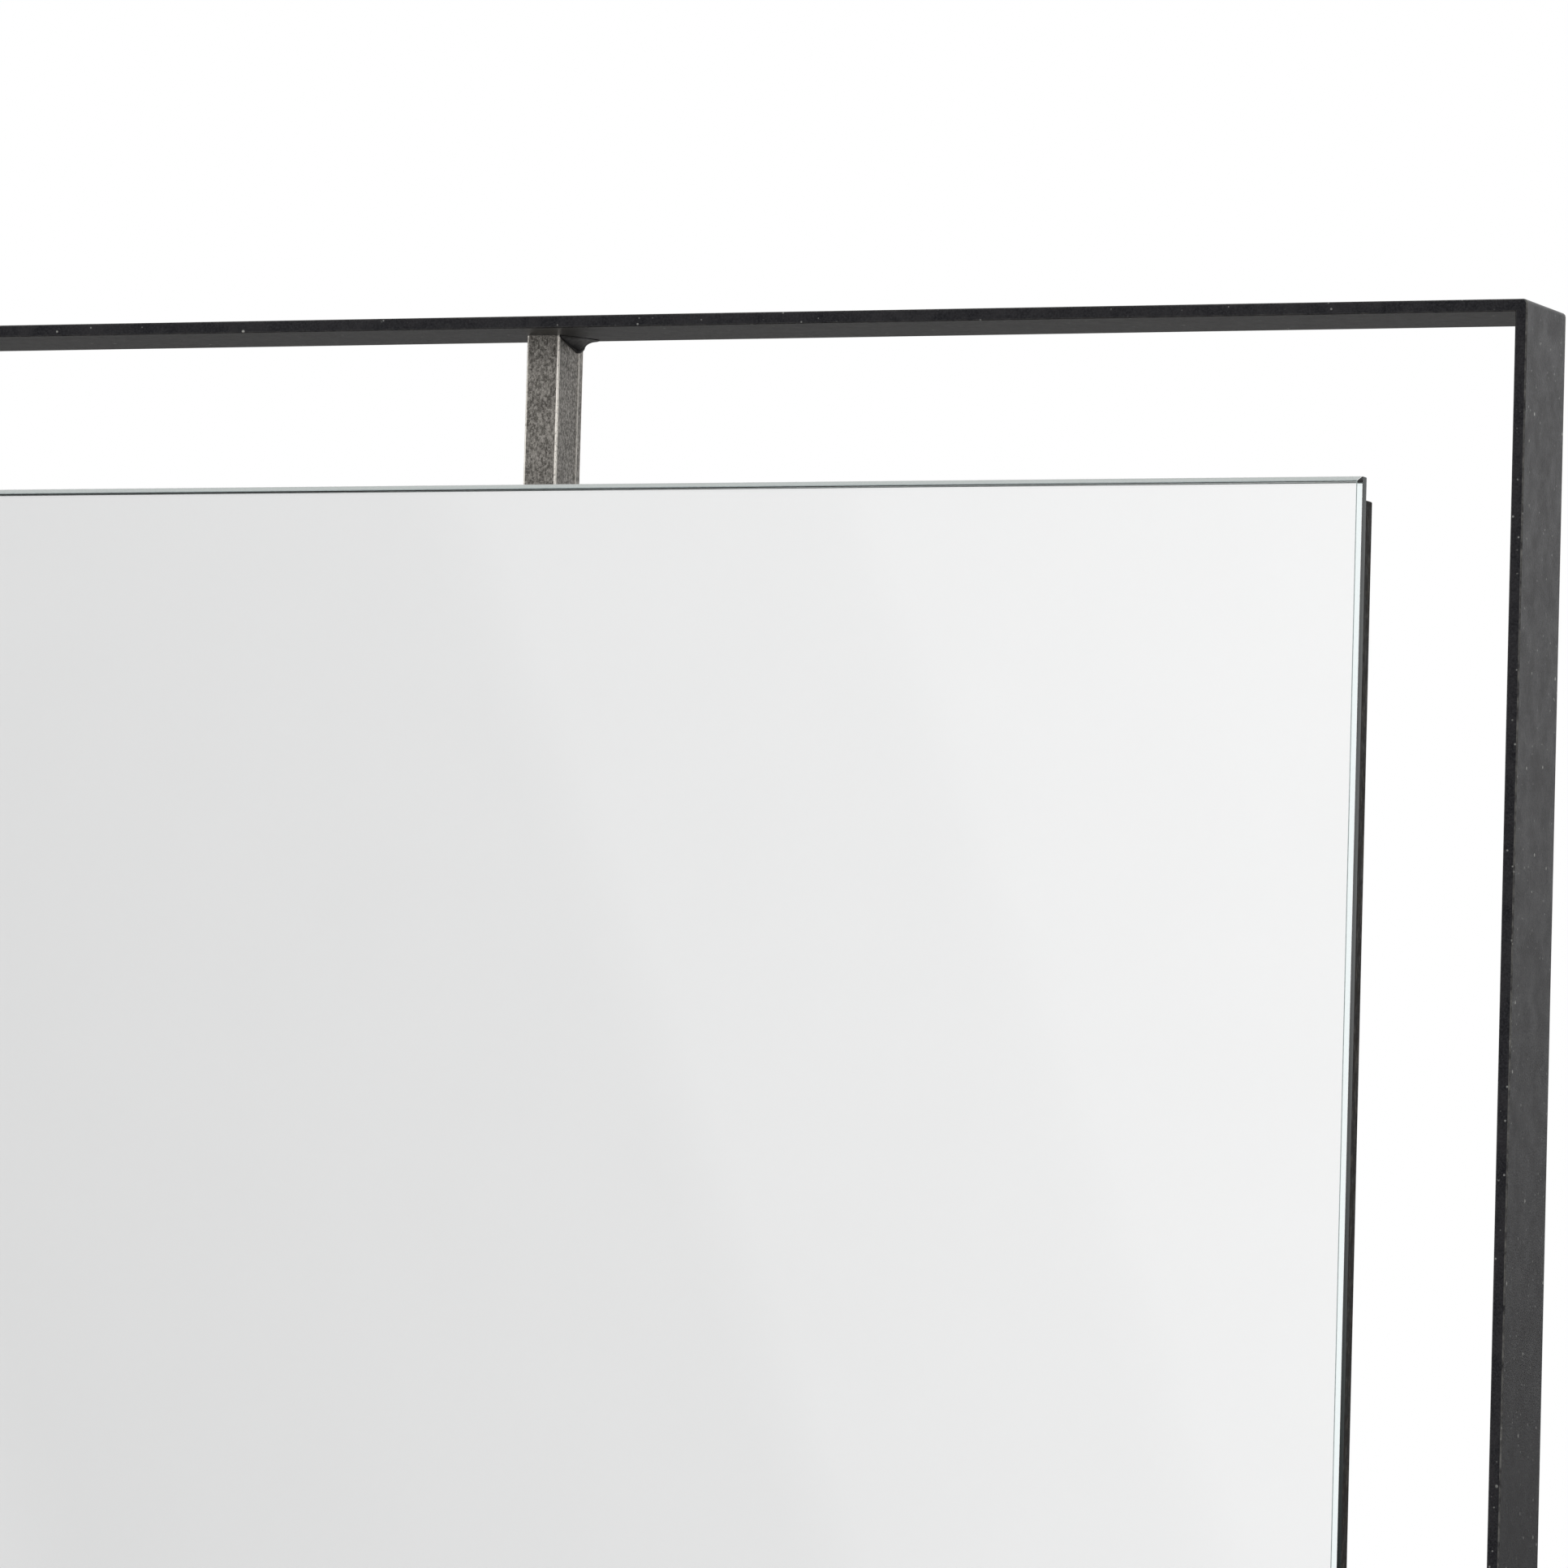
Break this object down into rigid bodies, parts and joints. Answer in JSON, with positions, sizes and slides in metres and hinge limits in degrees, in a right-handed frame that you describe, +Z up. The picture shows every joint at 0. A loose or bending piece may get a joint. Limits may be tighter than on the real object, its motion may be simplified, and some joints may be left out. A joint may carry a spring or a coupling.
{
  "type": "open-frame floating wall mirror",
  "caption": "Rectangular wall mirror held by short struts inside a deep, open flat-bar frame, lifting off a hooked wall rail.",
  "frame": {"origin": "middle of the wall rail's row of screw holes, on the wall's face", "axes": "+X to the right as seen from the room, +Y into the wall, +Z up"},
  "size_m": [0.68, 0.0414, 0.94],
  "materials": {
    "blackened_bar": "blackened and waxed hot-rolled flat bar",
    "brushed_strut": "raw mild steel, hand brushed, clear waxed",
    "weld_metal": "dressed and blackened weld metal",
    "subframe_steel": "oiled mild-steel tube",
    "backing_board": "raw medium-density fibreboard",
    "zinc_screw": "bright zinc plate",
    "foam_tape": "closed-cell acrylic foam",
    "mastic": "cured mirror mastic",
    "safety_film": "woven-look polythene film",
    "silvering": "silver and copper under backing paint",
    "float_glass": "clear float glass with polished arrises",
    "rail_aluminium": "mill-finish extrusion",
    "bumper_rubber": "moulded rubber"
  },
  "bodies": {
    "wall_rail": {"wall_rail": "rail_aluminium", "wall_rail_lip": "rail_aluminium"},
    "mirror_assembly": {"frame_top_bar": "blackened_bar", "frame_bottom_bar": "blackened_bar", "frame_left_bar": "blackened_bar", "frame_right_bar": "blackened_bar", "top_strut": "brushed_strut", "bottom_strut": "brushed_strut", "left_strut": "brushed_strut", "right_strut": "brushed_strut", "outer_welds": "weld_metal", "inner_welds": "weld_metal", "tube_top": "subframe_steel", "tube_bottom": "subframe_steel", "tube_left": "subframe_steel", "tube_right": "subframe_steel", "board_tabs": "subframe_steel", "backing_board": "backing_board", "board_screws": "zinc_screw", "edge_tape": "foam_tape", "mastic_pads": "mastic", "safety_film": "safety_film", "silver_layer": "silvering", "mirror_glass": "float_glass", "frame_cleat": "rail_aluminium", "frame_cleat_lip": "rail_aluminium", "cleat_screws": "zinc_screw", "wall_bumpers": "bumper_rubber", "bumper_screws": "zinc_screw"}
  },
  "joints": [
    {"name": "lift_off", "type": "slide", "parent": "wall_rail", "child": "mirror_assembly", "axis": [0, 0, 1], "range_m": [0, 0.012]}
  ]
}
